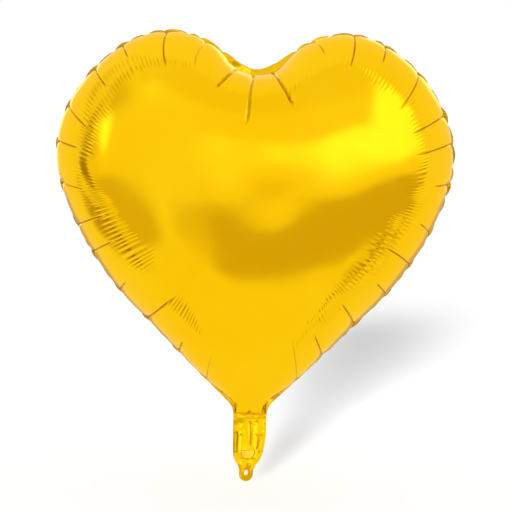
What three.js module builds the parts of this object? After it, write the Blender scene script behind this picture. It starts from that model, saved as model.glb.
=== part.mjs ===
// A heart-shaped foil balloon, inflated, with its flat filling tail.
// Millimetres, +Z up. The origin is the middle of the pinched neck, where the tail folds and a ribbon ties.
// The front face looks along -Y. The heart rises above the neck and the tail hangs below it.

import * as THREE from 'three';

// Driving dimensions
const LOBE_TOP = 367; // height of the top of each lobe above the neck
const LOBE_X = 84; // how far each lobe's top is from the middle
const NOTCH_Z = 332; // height of the bottom of the notch between the lobes
const HALF_WIDTH = 189.4; // half of the widest part
const WIDEST_Z = 250; // height of the widest part
const FLANK_X = 119.3; // where each side's curve ends and its straight flank begins
const FLANK_Z = 111.6;
const FOOT_X = 23.4; // where each straight flank ends and curves into the neck
const FOOT_Z = 16.2;
const NOTCH_HANDLE = 22; // reach of the outline's curve handles: sideways from the notch,
const LOBE_HANDLE_IN = 42; // from each lobe's top towards the middle,
const LOBE_HANDLE_OUT = 50; // from each lobe's top outwards,
const WIDEST_HANDLE_UP = 57; // up from the widest part,
const WIDEST_HANDLE_DOWN = 40; // down from the widest part,
const FLANK_HANDLE = 35; // up and outwards from the flank,
const FOOT_HANDLE = 5; // down and inwards from the flank's lower end,
const NECK_HANDLE = 7.4; // and up from the neck's corner
const HALF_DEPTH = 81; // how far each face's crown stands out from the seam's plane
const CROWN_Z = 205; // height of the highest point of each crown
const SEAM_WIDTH = 7; // width of the heat-sealed margin
const SEAM_HIDDEN = 6; // how much of the margin the bulging faces hide along the convex edge
const NOTCH_CLEAR_X = [12, 62]; // across these distances from the middle the margin goes out of sight,
const SIDE_TOP_Z = [300, 240]; // or down these heights at the sides,
const NECK_CLEAR_Z = [14, 62]; // and it comes into sight again down these heights above the neck
const PINCH_DEPTH = 13; // how far out the faces keep curling in towards the seam
const PINCH_CURVE = 1.6;
const CROWN_STEEPNESS = 1.5; // an inflated sheet of foil can't stretch, so its crown is flatter
const CROWN_FULLNESS = 0.54; // and its rim is steeper than a stretched skin's
const FOIL = 0.5; // thickness of each face's shell
const FACE_GAP = 0.15; // each face's distance from the seam's plane
const NECK_HALF = 15.8; // half of the neck's width
const FOLD_GAP = 1.6; // distance of each sheet's cut end from the fold line
const NECK_SPREAD = 0.5; // extra room for the filling valve between the faces at the neck
const NECK_SPREAD_FOOT = 12; // the extra room narrows from this height up
const NECK_SPREAD_TOP = 30; // and is gone at this height
const NECK_TURN_FOOT = 20; // below this the faces' columns of points rise straight from the neck,
const NECK_TURN_TOP = 80; // and above this they set off square to the outline

const PLY = 0.4; // thickness of each ply of the tail
const PLY_FACE = 0.65; // each ply's inner face, measured from the middle plane
const SHOULDER_HALF = 13.8; // half of the tail's width where it starts to narrow
const SHOULDER_Z = -32;
const TAIL_WAIST_Z = -16; // heights and widths of the handles of the tail's side curve
const TAIL_SWELL_Z = -26;
const TAIL_SWELL = 0.8;
const SHOULDER_CURVE_X = 12;
const SHOULDER_CURVE_Z = -41;
const TAB_CURVE_Z = -43;
const TAB_FLARE = 1;
const TAB_HALF = 6.6; // half of the width of the hanging tab, and the radius of its round end
const TAB_CENTRE_Z = -53;
const TAB_TOP_Z = -49.5;
const RIBBON_HOLE_R = 2.2; // hole through the tab, for a ribbon
const RIBBON_HOLE_Z = -51.5;
const PORT_HALF = 6.7; // half of the width of the filling port, a half-moon cut in the front ply
const PORT_TOP_Z = -31;
const PORT_DROP = 7.4;
const PORT_CURVE = 4; // reach of the port's bottom curve from the middle

const FILM = 0.2; // thickness of each film of the filling valve
const FILM_FACE = 0.15;
const FILM_HALF = 8.8;
const FILM_TOP_Z = 115;
const FILM_FOOT_Z = -42;
const BEAD_R = 1.25; // radius of the foil gathered on the fold line

const COLUMNS = 96; // points round the heart's outline
const NECK_COLUMNS = 3; // of those, how many lie on each half of the neck's cut end
const COLUMN_REACH = 0.3; // how far along its way to the middle each column of points turns towards it
const RING_PLACES = [0, 0.0022, 0.008, 0.022, 0.05, 0.095, 0.16, 0.25, 0.37, 0.52, 0.7, 0.86];
const RING_STRIDES = [1, 1, 1, 1, 1, 1, 1, 2, 2, 4, 4, 8];

const GOLD = { color: 0xe5a80b, metalness: 1, roughness: 0.14 };
const FILM_CLEAR = { color: 0xd8d5cc, metalness: 0, roughness: 0.3 };

const v2 = (x, z) => new THREE.Vector2(x, z);

function smoothstep(from, to, value) {
  const t = Math.min(Math.max((value - from) / (to - from), 0), 1);
  return t * t * (3 - 2 * t);
}

// The outer edge of the sealed margin, from the notch down the right side to the middle of the neck's cut end.
function halfOutline() {
  const side = new THREE.CurvePath();
  const notch = v2(0, NOTCH_Z);
  const top = v2(LOBE_X, LOBE_TOP);
  const widest = v2(HALF_WIDTH, WIDEST_Z);
  const flank = v2(FLANK_X, FLANK_Z);
  const foot = v2(FOOT_X, FOOT_Z);
  const neck = v2(NECK_HALF, FOLD_GAP);
  side.add(new THREE.CubicBezierCurve(notch, v2(NOTCH_HANDLE, NOTCH_Z), v2(LOBE_X - LOBE_HANDLE_IN, LOBE_TOP), top));
  const above = v2(HALF_WIDTH, WIDEST_Z + WIDEST_HANDLE_UP);
  side.add(new THREE.CubicBezierCurve(top, v2(LOBE_X + LOBE_HANDLE_OUT, LOBE_TOP), above, widest));
  const below = v2(HALF_WIDTH, WIDEST_Z - WIDEST_HANDLE_DOWN);
  side.add(new THREE.CubicBezierCurve(widest, below, v2(FLANK_X + FLANK_HANDLE, FLANK_Z + FLANK_HANDLE), flank));
  side.add(new THREE.LineCurve(flank, foot));
  const ankle = v2(FOOT_X - FOOT_HANDLE, FOOT_Z - FOOT_HANDLE);
  side.add(new THREE.CubicBezierCurve(foot, ankle, v2(NECK_HALF, FOLD_GAP + NECK_HANDLE), neck));
  const points = side.getSpacedPoints(COLUMNS / 2 - NECK_COLUMNS);
  for (let i = 1; i <= NECK_COLUMNS; i++) {
    points.push(v2(NECK_HALF * (1 - i / NECK_COLUMNS), FOLD_GAP));
  }
  return points;
}

// The whole outline, clockwise as seen from the front, starting at the notch.
function wholeOutline() {
  const right = halfOutline();
  const left = right.slice(1, -1).reverse();
  return [...right, ...left.map((p) => v2(-p.x, p.y))];
}

// The direction into the heart at each point of an outline, long enough to inset both neighbouring edges by 1.
function inwardMiters(outline) {
  return outline.map((p, i) => {
    const before = outline[(i + outline.length - 1) % outline.length];
    const after = outline[(i + 1) % outline.length];
    const a = p.clone().sub(before).normalize();
    const b = after.clone().sub(p).normalize();
    const miter = v2(a.y + b.y, -a.x - b.x).normalize();
    return miter.divideScalar(miter.dot(v2(b.y, -b.x)));
  });
}

const outline = wholeOutline();
const inward = inwardMiters(outline);

// How far the crown's silhouette bulges out past the seam's root: nothing at the notch and at the neck.
function bulge(point) {
  const pastNotch = smoothstep(...NOTCH_CLEAR_X, Math.abs(point.x));
  const pastNeck = smoothstep(...NECK_CLEAR_Z, point.y);
  return SEAM_HIDDEN * pastNeck * Math.max(pastNotch, smoothstep(...SIDE_TOP_Z, point.y));
}

// The way each column of points sets off from the outline: square to it, but straight up from the neck.
function departure(c) {
  const upwards = smoothstep(NECK_TURN_TOP, NECK_TURN_FOOT, outline[c].y);
  return inward[c].clone().normalize().lerp(v2(0, 1), upwards).normalize();
}

// Flat places of the crown's rings: rings[r][k] lies on column k * RING_STRIDES[r].
function flatRings() {
  const middle = v2(0, CROWN_Z);
  return RING_PLACES.map((place, r) => {
    const ring = [];
    for (let c = 0; c < COLUMNS; c += RING_STRIDES[r]) {
      const start = outline[c].clone().addScaledVector(inward[c], SEAM_WIDTH - bulge(outline[c]));
      const reach = start.distanceTo(middle) * COLUMN_REACH;
      const handle = start.clone().addScaledVector(departure(c), reach);
      ring.push(new THREE.QuadraticBezierCurve(start, handle, middle).getPoint(place));
    }
    return ring;
  });
}

// Triangles between the rings, and from the last ring to the middle vertex. firstOf[r] is a ring's first vertex.
function crownFaces(firstOf, middleIndex) {
  const faces = [];
  const at = (r, c) => firstOf[r] + (c % COLUMNS) / RING_STRIDES[r];
  for (let r = 0; r + 1 < RING_STRIDES.length; r++) {
    const fine = RING_STRIDES[r];
    const coarse = RING_STRIDES[r + 1];
    for (let c = 0; c < COLUMNS; c += coarse) {
      if (fine === coarse) {
        faces.push([at(r, c), at(r, c + fine), at(r + 1, c)]);
        faces.push([at(r, c + fine), at(r + 1, c + fine), at(r + 1, c)]);
      } else {
        faces.push([at(r, c), at(r, c + fine), at(r + 1, c)]);
        faces.push([at(r, c + fine), at(r + 1, c + coarse), at(r + 1, c)]);
        faces.push([at(r, c + fine), at(r, c + coarse), at(r + 1, c + coarse)]);
      }
    }
  }
  const last = RING_STRIDES.length - 1;
  for (let c = 0; c < COLUMNS; c += RING_STRIDES[last]) {
    faces.push([at(last, c), at(last, c + RING_STRIDES[last]), middleIndex]);
  }
  return faces;
}

// The height of a flat sheet under even pressure, held at its edge: each vertex's load is balanced by its
// edges' pulls, which are linear finite elements. Gaussian elimination on a full matrix is quick at this size.
function membraneHeights(points, faces, fixedCount) {
  const free = points.length - fixedCount;
  const rows = Array.from({ length: free }, () => new Float64Array(free + 1));
  for (const face of faces) {
    const corners = face.map((i) => points[i]);
    const twiceArea = Math.abs(corners[1].clone().sub(corners[0]).cross(corners[2].clone().sub(corners[0])));
    for (let i = 0; i < 3; i++) {
      const row = face[i] - fixedCount;
      if (row < 0) continue;
      const opposite = corners[(i + 2) % 3].clone().sub(corners[(i + 1) % 3]);
      rows[row][free] += twiceArea / 6;
      for (let j = 0; j < 3; j++) {
        const column = face[j] - fixedCount;
        const other = corners[(j + 2) % 3].clone().sub(corners[(j + 1) % 3]);
        if (column >= 0) rows[row][column] += opposite.dot(other) / (2 * twiceArea);
      }
    }
  }
  for (let i = 0; i < free; i++) {
    for (let k = i + 1; k < free; k++) {
      const factor = rows[k][i] / rows[i][i];
      if (factor === 0) continue;
      for (let j = i; j <= free; j++) rows[k][j] -= factor * rows[i][j];
    }
  }
  const heights = new Float64Array(points.length);
  for (let i = free - 1; i >= 0; i--) {
    let sum = rows[i][free];
    for (let j = i + 1; j < free; j++) sum -= rows[i][j] * heights[j + fixedCount];
    heights[i + fixedCount] = sum / rows[i][i];
  }
  return heights;
}

// The height of a face of foil where a stretched skin would have this share of its highest.
function foilHeight(share) {
  const fall = (1 - Math.min(Math.max(share, 0), 1)) ** CROWN_STEEPNESS;
  return HALF_DEPTH * (1 - fall) ** CROWN_FULLNESS;
}

// The outer surface of one face as columns of points from the margin's edge to the crown's middle, and the
// same columns moved inwards by the foil's thickness. Heights are measured out from the seam's plane.
function facePoints() {
  const rings = flatRings();
  const flat = [...rings.flat(), v2(0, CROWN_Z)];
  const firstOf = [];
  rings.reduce((first, ring, r) => ((firstOf[r] = first), first + ring.length), 0);
  const faces = crownFaces(firstOf, flat.length - 1);
  const membrane = membraneHeights(flat, faces, rings[0].length);
  const highest = membrane.reduce((a, b) => Math.max(a, b));

  const spread = (p) => NECK_SPREAD * smoothstep(NECK_SPREAD_TOP, NECK_SPREAD_FOOT, p.y);
  const marginHeight = (p) => FACE_GAP + FOIL + spread(p);
  const outer = outline.map((p) => new THREE.Vector3(p.x, marginHeight(p), p.y));
  rings.forEach((ring, r) => {
    ring.forEach((p, k) => {
      const c = k * RING_STRIDES[r];
      const rise = foilHeight(membrane[firstOf[r] + k] / highest);
      const pinch = bulge(outline[c]) * (1 - Math.min(rise / PINCH_DEPTH, 1)) ** PINCH_CURVE;
      const moved = p.clone().addScaledVector(inward[c], pinch);
      outer.push(new THREE.Vector3(moved.x, rise + marginHeight(outline[c]), moved.y));
    });
  });
  outer.push(new THREE.Vector3(0, HALF_DEPTH + FACE_GAP + FOIL, CROWN_Z));
  return { outer, faces, firstOf };
}

// One face of the balloon: a thin closed shell that stands out along -Y.
function faceGeometry() {
  const { outer, faces, firstOf } = facePoints();
  const crownStart = outline.length;
  const outerFaces = faces.map((f) => f.map((i) => i + crownStart));
  for (let c = 0; c < COLUMNS; c++) {
    const next = (c + 1) % COLUMNS;
    outerFaces.push([c, next, crownStart + c]);
    outerFaces.push([next, crownStart + next, crownStart + c]);
  }

  // Inner surface: each vertex moves in along a miter of the profile in its own column. The profile is read
  // inwards, although it curls outwards for a stretch above the seam.
  const inner = outer.map((p) => p.clone());
  const at = (ring, c) => {
    if (ring < 0) return outer[c];
    if (ring === RING_STRIDES.length) return outer[outer.length - 1];
    const stride = RING_STRIDES[ring];
    return outer[crownStart + firstOf[ring] + Math.round(c / stride) % (COLUMNS / stride)];
  };
  for (let c = 0; c < COLUMNS; c++) {
    inner[c].y -= FOIL;
    for (let r = 0; r < RING_STRIDES.length && c % RING_STRIDES[r] === 0; r++) {
      const here = at(r, c);
      const before = at(r - 1, c);
      const after = at(r + 1, c);
      const along = new THREE.Vector3(after.x - before.x, 0, after.z - before.z).normalize();
      if (along.x * inward[c].x + along.z * inward[c].y < 0) along.negate();
      const across = (from, to) => {
        const step = to.clone().sub(from);
        return v2(step.dot(along), step.y).normalize();
      };
      const first = across(before, here);
      const second = across(here, after);
      const miter = v2(first.y + second.y, -first.x - second.x).normalize();
      const length = FOIL / miter.dot(v2(second.y, -second.x));
      const moved = inner[crownStart + firstOf[r] + c / RING_STRIDES[r]];
      moved.addScaledVector(along, miter.x * length);
      moved.y += miter.y * length;
    }
  }
  inner[inner.length - 1].y -= FOIL;

  const vertices = [...outer, ...inner].flatMap((p) => [p.x, -p.y, p.z]);
  const innerFaces = outerFaces.map(([a, b, c]) => [a + outer.length, c + outer.length, b + outer.length]);
  const edgeFaces = [];
  for (let c = 0; c < COLUMNS; c++) {
    const next = (c + 1) % COLUMNS;
    edgeFaces.push([c, c + outer.length, next]);
    edgeFaces.push([next, c + outer.length, next + outer.length]);
  }
  const index = [...outerFaces, ...innerFaces, ...edgeFaces].flatMap(([a, b, c]) => [a, c, b]);
  const geometry = new THREE.BufferGeometry();
  geometry.setAttribute('position', new THREE.Float32BufferAttribute(vertices, 3));
  geometry.setIndex(index);
  geometry.computeVertexNormals();
  return geometry;
}

// A flat sheet cut to an outline in x and z, standing on its near face's distance from the middle plane.
function sheetGeometry(shape, near, thickness) {
  const geometry = new THREE.ExtrudeGeometry(shape, { depth: thickness, bevelEnabled: false, curveSegments: 8 });
  geometry.rotateX(Math.PI / 2);
  geometry.translate(0, -near, 0);
  return geometry;
}

function tailShape() {
  const swell = SHOULDER_HALF + TAIL_SWELL;
  const flare = TAB_HALF + TAB_FLARE;
  const shape = new THREE.Shape();
  shape.moveTo(-NECK_HALF, -FOLD_GAP);
  shape.bezierCurveTo(-NECK_HALF, TAIL_WAIST_Z, -swell, TAIL_SWELL_Z, -SHOULDER_HALF, SHOULDER_Z);
  shape.bezierCurveTo(-SHOULDER_CURVE_X, SHOULDER_CURVE_Z, -flare, TAB_CURVE_Z, -TAB_HALF, TAB_TOP_Z);
  shape.lineTo(-TAB_HALF, TAB_CENTRE_Z);
  shape.absarc(0, TAB_CENTRE_Z, TAB_HALF, Math.PI, 2 * Math.PI, false);
  shape.lineTo(TAB_HALF, TAB_TOP_Z);
  shape.bezierCurveTo(flare, TAB_CURVE_Z, SHOULDER_CURVE_X, SHOULDER_CURVE_Z, SHOULDER_HALF, SHOULDER_Z);
  shape.bezierCurveTo(swell, TAIL_SWELL_Z, NECK_HALF, TAIL_WAIST_Z, NECK_HALF, -FOLD_GAP);
  shape.closePath();
  shape.holes.push(new THREE.Path().absarc(0, RIBBON_HOLE_Z, RIBBON_HOLE_R, 0, 2 * Math.PI, true));
  return shape;
}

function frontPlyShape() {
  const shape = tailShape();
  const port = new THREE.Path();
  const bottom = PORT_TOP_Z - PORT_DROP;
  port.moveTo(-PORT_HALF, PORT_TOP_Z);
  port.bezierCurveTo(-PORT_HALF, bottom, -PORT_CURVE, bottom, 0, bottom);
  port.bezierCurveTo(PORT_CURVE, bottom, PORT_HALF, bottom, PORT_HALF, PORT_TOP_Z);
  port.closePath();
  shape.holes.push(port);
  return shape;
}

function filmShape(bottom, top) {
  const shape = new THREE.Shape();
  shape.moveTo(-FILM_HALF, bottom);
  shape.lineTo(FILM_HALF, bottom);
  shape.lineTo(FILM_HALF, top);
  shape.lineTo(-FILM_HALF, top);
  shape.closePath();
  return shape;
}

function named(name, geometry, look) {
  const mesh = new THREE.Mesh(geometry, new THREE.MeshStandardMaterial(look));
  mesh.name = name;
  return mesh;
}

function makeEnvelope() {
  const envelope = new THREE.Group();
  const front = named('front_panel', faceGeometry(), GOLD);
  const back = named('back_panel', faceGeometry(), GOLD);
  back.scale.y = -1;
  const bead = new THREE.CylinderGeometry(BEAD_R, BEAD_R, 2 * NECK_HALF, 16);
  bead.rotateZ(Math.PI / 2);
  envelope.add(front, back, named('neck_crease', bead, GOLD));
  return envelope;
}

function makeValve() {
  const valve = new THREE.Group();
  const film = () => sheetGeometry(filmShape(FOLD_GAP, FILM_TOP_Z), FILM_FACE, FILM);
  const back = named('valve_back_film', film(), FILM_CLEAR);
  back.scale.y = -1;
  valve.add(named('valve_front_film', film(), FILM_CLEAR), back);
  return valve;
}

function makeTail() {
  const tail = new THREE.Group();
  const film = () => sheetGeometry(filmShape(FILM_FOOT_Z, -FOLD_GAP), FILM_FACE, FILM);
  const backPly = named('tail_back_ply', sheetGeometry(tailShape(), PLY_FACE, PLY), GOLD);
  const backFilm = named('tail_valve_back_film', film(), FILM_CLEAR);
  backPly.scale.y = -1;
  backFilm.scale.y = -1;
  tail.add(named('tail_front_ply', sheetGeometry(frontPlyShape(), PLY_FACE, PLY), GOLD), backPly);
  tail.add(named('tail_valve_front_film', film(), FILM_CLEAR), backFilm);
  return tail;
}

const balloon = new THREE.Group();
balloon.add(makeEnvelope(), makeValve(), makeTail());

export default balloon;
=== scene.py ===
"""A gold heart-shaped foil balloon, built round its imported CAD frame.

The two hearts are thin inflated sheets of film. Each one's crown is the height of a sheet under even
pressure, worked out from the outline, and the gathers, creases and ripples of a sealed foil edge are laid
on it along its own normals.
"""

import math

import bpy
import numpy as np
from mathutils import Matrix, Vector
from mathutils.geometry import delaunay_2d_cdt


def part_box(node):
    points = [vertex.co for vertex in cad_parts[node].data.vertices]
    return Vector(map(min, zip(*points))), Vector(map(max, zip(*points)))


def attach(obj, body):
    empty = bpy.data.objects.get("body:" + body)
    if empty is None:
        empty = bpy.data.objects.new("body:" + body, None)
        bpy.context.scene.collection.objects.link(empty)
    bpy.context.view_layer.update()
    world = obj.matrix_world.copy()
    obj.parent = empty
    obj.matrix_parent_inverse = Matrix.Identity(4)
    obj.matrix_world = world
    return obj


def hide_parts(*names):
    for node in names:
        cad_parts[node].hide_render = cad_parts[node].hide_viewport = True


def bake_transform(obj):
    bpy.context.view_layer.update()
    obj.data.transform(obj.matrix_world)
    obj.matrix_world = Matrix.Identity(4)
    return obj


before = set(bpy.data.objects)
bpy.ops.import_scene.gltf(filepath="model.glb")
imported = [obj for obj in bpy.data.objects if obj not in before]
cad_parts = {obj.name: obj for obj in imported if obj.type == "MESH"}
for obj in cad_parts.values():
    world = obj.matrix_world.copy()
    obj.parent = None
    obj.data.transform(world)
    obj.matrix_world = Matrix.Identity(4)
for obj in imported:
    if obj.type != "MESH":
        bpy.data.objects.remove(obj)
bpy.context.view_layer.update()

# --------------------------------------------------------------------------------------------------
# Sizes, in millimetres. The outline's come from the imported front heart.

MM = 0.001
PANEL_LOW, PANEL_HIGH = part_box("front_panel")
PLY_LOW, PLY_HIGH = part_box("tail_front_ply")
HALF_WIDTH = PANEL_HIGH.x / MM
LOBE_TOP = PANEL_HIGH.z / MM
NECK_END = PANEL_LOW.z / MM
NECK_HALF = PLY_HIGH.x / MM
TAIL_END = PLY_LOW.z / MM
DEPTH_SPARE = 0.65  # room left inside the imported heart's depth, for the swelling
DEPTH = -PANEL_LOW.y / MM - DEPTH_SPARE

LOBE_X = 0.4436 * HALF_WIDTH
NOTCH_Z = 0.9048 * LOBE_TOP
WIDEST_Z = 0.6813 * LOBE_TOP
FLANK = (0.63 * HALF_WIDTH, 0.3043 * LOBE_TOP)
FOOT = (0.1236 * HALF_WIDTH, 0.0443 * LOBE_TOP)
CROWN = np.array([0.0, 0.5587 * LOBE_TOP])  # the middle, where all columns of points meet
FOCUS = (0.523 * HALF_WIDTH, 0.55 * LOBE_TOP)  # what a lobe's creases point at

# Where the handles of the outline's curves lie: x or z, and for the last three the reach
NOTCH_HANDLE_X = 0.262 * LOBE_X
LOBE_INNER_HANDLE_X = 0.5 * LOBE_X
LOBE_OUTER_HANDLE_X = 1.595 * LOBE_X
WIDEST_UPPER_HANDLE_Z = 0.8365 * LOBE_TOP
WIDEST_LOWER_HANDLE_Z = 0.5722 * LOBE_TOP
FLANK_HANDLE = 35
FOOT_HANDLE = 5
NECK_HANDLE = 9

SEAM_WIDTH = 7.0
SEAM_HIDDEN = 6.0  # how much of the margin the bulging faces hide
SEAM_TUCK = 0.22  # and the share more that they hide on the lower flanks
PINCH_DEPTH, PINCH_POWER = 13.0, 1.6  # how far out the faces keep curling in towards the seam
CROWN_ROUND, CROWN_POWER = 1.5, 0.54  # how the pressed sheet's height becomes the balloon's depth

# The wedge at the neck that the faces stay within: its depth at the neck, its slope, and what widens it
CONE_START, CONE_SLOPE, CONE_WIDENING, CONE_POWER = 1.0, 0.46, 120, 6

COLUMNS = 2048  # points round the rim
NECK_COLUMNS = 26  # of them across half of the neck
RINGS = 112  # rows of points from the rim to the middle
MARGIN_RINGS = 5
HALVINGS = (0.44, 0.60, 0.78, 0.90)  # how far in the number of columns is halved
EVEN_START = 0.2  # the larger, the closer together the first rings
ARRIVAL_REACH = 60  # columns over which the arrivals at the middle are evened
FIRST_HANDLE, FIRST_HANDLE_MOST = 0.34, 58  # a column's curve leaves the rim by this share, or this much
SECOND_HANDLE = 0.42
SOURCE_OUT, SOURCE_OUT_NECK = 24, 9  # how far the membrane's sources lie outside the rim

SEED = 11

FOIL = 0.14  # the foil's thickness as it is drawn
MARGIN_GAP = 0.1  # from the middle plane to each heart's margin
NECK_CLEAR = 1.15  # and at the neck, where the tail runs in
ZIGZAG, ZIGZAG_REACH = 2.4, 15  # how far the seam zigzags, and how far in that is felt
ZIGZAG_AT_NECK = 0.15  # the share of it left at the neck
SCALLOP, SCALLOP_PITCH = 2.2, 19.0  # of the margin's outer edge
PILLOW, PILLOW_SINK, PILLOW_REACH = 2.2, 0.8, 18  # the puffs between the creases
SHOULDER, SHOULDER_INSET, SHOULDER_WIDTH = 0.8, 35, 7  # the low ridge under the ripples
SWELL, SWELL_WAVES = 0.10, 9
RIM_STILL = 7  # the rim itself isn't moved, and this far in everything is

# The creases' spacing, and what each one's depth, length and width lie between
CREASE_SPACING = 40.0
CREASES = ((1.5, 2.8), (27, 52), (2.0, 3.4))
SMALL_SPACING = 21.0
SMALL_CREASES = ((0.3, 1.0), (18, 30), (1.2, 2.0))
CREASE_BEND = 0.10
VALLEY_LEAST, VALLEY_POWER = 0.7, 1.15  # a valley's width at its end, and how quickly it grows shallow

# The slit in a crease: its depth and width, where it begins, and from where to where it fades out, as
# shares of the crease's length
SLIT, SLIT_WIDTH = 1.7, 0.62
SLIT_START = (2, 9)
SLIT_FADE = (1.2, 1.55)

COMB_PITCH = 4.7
COMB_DEPTH = 0.74
COMB_INSET, COMB_WANDER = (32.5, 34.5), 5
COMB_LENGTH = (7, 9)
COMB_STRENGTH = (0.7, 1.0)
COMB_JITTER = 2.4

# The margin's edge: how far it waves, ruffles and, at the notch, spreads, and how it sags and stands out
# at the neck
EDGE_WAVE, EDGE_RUFFLE, NOTCH_SPREAD = 1.1, 0.5, 1.3
NECK_SAG, NECK_SAG_FLAT, NECK_OUT = 1.5, 1.8, 1.2
MARGIN_RUFFLE = 0.35


def smoothstep(start, end, value):
    t = np.clip((value - start) / (end - start), 0, 1)
    return t * t * (3 - 2 * t)


def unit(vectors):
    return vectors / np.linalg.norm(vectors, axis=-1, keepdims=True)


def mix(a, b, share):
    return a + (b - a) * share


# --------------------------------------------------------------------------------------------------
# The heart's outline and the height of its crown


def bezier(points, steps):
    a, b, c, d = (np.array(p, float) for p in points)
    t = np.linspace(0, 1, steps)[:, None]
    s = 1 - t
    return s**3 * a + 3 * s * s * t * b + 3 * s * t * t * c + t**3 * d


def half_outline():
    """The margin's outer edge from the notch down the right side to the neck's corner, evenly spaced."""
    fx, fz = FLANK
    x, z = FOOT
    top, wide, steps = (LOBE_X, LOBE_TOP), (HALF_WIDTH, WIDEST_Z), 400
    thirds = [mix(np.array(FLANK), np.array(FOOT), share) for share in (1 / 3, 2 / 3)]
    curves = [
        ((0, NOTCH_Z), (NOTCH_HANDLE_X, NOTCH_Z), (LOBE_INNER_HANDLE_X, LOBE_TOP), top),
        (top, (LOBE_OUTER_HANDLE_X, LOBE_TOP), (HALF_WIDTH, WIDEST_UPPER_HANDLE_Z), wide),
        (wide, (HALF_WIDTH, WIDEST_LOWER_HANDLE_Z), (fx + FLANK_HANDLE, fz + FLANK_HANDLE), FLANK),
        (FLANK, *thirds, FOOT),
        (FOOT, (x - FOOT_HANDLE, z - FOOT_HANDLE), (NECK_HALF, NECK_HANDLE), (NECK_HALF, NECK_END)),
    ]
    line = np.vstack([bezier(c, steps) for c in curves])
    along = np.r_[0, np.cumsum(np.linalg.norm(np.diff(line, axis=0), axis=1))]
    at = np.linspace(0, along[-1], COLUMNS // 2 - NECK_COLUMNS + 1)
    return np.stack([np.interp(at, along, line[:, k]) for k in (0, 1)], axis=1)


def whole_outline():
    """All columns' points, clockwise as seen from the front, starting at the notch."""
    side = half_outline()
    neck = np.linspace(NECK_HALF, 0, NECK_COLUMNS + 1)[1:]
    right = np.vstack([side, np.stack([neck, np.full_like(neck, NECK_END)], axis=1)])
    left = right[1:-1][::-1] * (-1, 1)
    return np.vstack([right, left])


def smooth_round(values, reach):
    """A closed row of values, averaged over a bell-shaped window of reach columns each way."""
    steps = np.arange(-2 * reach, 2 * reach + 1)
    weights = np.exp(-((steps / reach) ** 2))
    weights /= weights.sum()
    return sum(w * np.roll(values, k, axis=0) for w, k in zip(weights, steps))


EDGE = whole_outline()
EDGE_X, EDGE_Z = EDGE[:, 0], EDGE[:, 1]
STEPS = np.linalg.norm(np.roll(EDGE, -1, axis=0) - EDGE, axis=1)
ROUND = np.r_[0, np.cumsum(STEPS)[:-1]]
GIRTH = STEPS.sum()
TANGENT = unit(smooth_round(np.roll(EDGE, -1, axis=0) - np.roll(EDGE, 1, axis=0), 3))
INWARD = np.stack([TANGENT[:, 1], -TANGENT[:, 0]], axis=1)

# The way across the margin: square to the edge, but short, upwards and inwards at the neck's end
NECK_WARDS = np.stack([-0.22 * EDGE_X / NECK_HALF, np.full(COLUMNS, 0.28)], axis=1)
INSET = mix(INWARD, NECK_WARDS, smoothstep(24, 5, EDGE_Z)[:, None])

# Numbers from 0 to 1 for each column: 1 well past the notch or the neck, where creases may run, and where
# the margin is tucked further under
BELOW_LOBES = smoothstep(300, 240, EDGE_Z)
PAST_NOTCH = np.maximum(smoothstep(10, 44, np.abs(EDGE_X)), BELOW_LOBES)
PAST_NECK = smoothstep(14, 62, EDGE_Z)
PLEATED = PAST_NECK * np.maximum(smoothstep(36, 60, np.abs(EDGE_X)), BELOW_LOBES)
LEFT_FLANK = smoothstep(-60, -140, EDGE_X) * smoothstep(330, 270, EDGE_Z)
TUCKED = np.maximum(LEFT_FLANK, smoothstep(210, 160, EDGE_Z))

# How far each column's face bulges out over the margin
BULGE = SEAM_HIDDEN * (1 + SEAM_TUCK * TUCKED) * PAST_NOTCH * smoothstep(7, 36, EDGE_Z)


def departures():
    """The way each column sets off from the rim, which is the way that its creases run."""
    side = np.where(EDGE_X < 0, -1.0, 1.0)
    focus = unit(np.stack([side * FOCUS[0], np.full(COLUMNS, FOCUS[1])], axis=1) - EDGE)
    flank_angle = math.radians(30)
    flank = np.stack([-side * math.cos(flank_angle), np.full(COLUMNS, math.sin(flank_angle))], axis=1)
    fan = unit(INWARD * (1.7, 1))
    near_notch = (smoothstep(75, 30, np.abs(EDGE_X)) * (EDGE_Z > CROWN[1]))[:, None]
    way = mix(focus, flank, smoothstep(225, 150, EDGE_Z)[:, None])
    way = mix(way, fan, near_notch)
    way = mix(way, np.array([0.0, 1.0]), smoothstep(135, 12, EDGE_Z)[:, None])
    return unit(smooth_round(way, 8))


def ring_places():
    """How far in each ring lies. They start close together, because the rim is steep."""
    q = np.linspace(0, 1, RINGS + 1)[:-1]
    return q * q * (1 + EVEN_START) / (q + EVEN_START)


def arrivals(first):
    """The way from the middle to each column's end, evened out so that no two columns cross."""
    turn = np.unwrap(np.arctan2(first[:, 1] - CROWN[1], first[:, 0]))
    whole = round((turn[-1] - turn[0]) / (2 * math.pi)) * 2 * math.pi
    even = np.arange(COLUMNS) * whole / COLUMNS
    turn = smooth_round(turn - even, ARRIVAL_REACH) + even
    return np.stack([np.cos(turn), np.sin(turn)], axis=1)


def flat_grid():
    """Each column's points on the flat, from the crown's silhouette to the middle: (column, ring, xz)."""
    start = EDGE + INSET * (SEAM_WIDTH - BULGE)[:, None]
    reach = np.linalg.norm(CROWN - start, axis=1, keepdims=True)
    first = start + departures() * np.minimum(FIRST_HANDLE * reach, FIRST_HANDLE_MOST)
    to_first = np.linalg.norm(first - CROWN, axis=1, keepdims=True)
    second = CROWN + SECOND_HANDLE * to_first * arrivals(first)
    t = ring_places()[None, :, None]
    s = 1 - t
    a, b, c = (p[:, None, :] for p in (start, first, second))
    return s**3 * a + 3 * s * s * t * b + 3 * s * t * t * c + t**3 * CROWN


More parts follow.
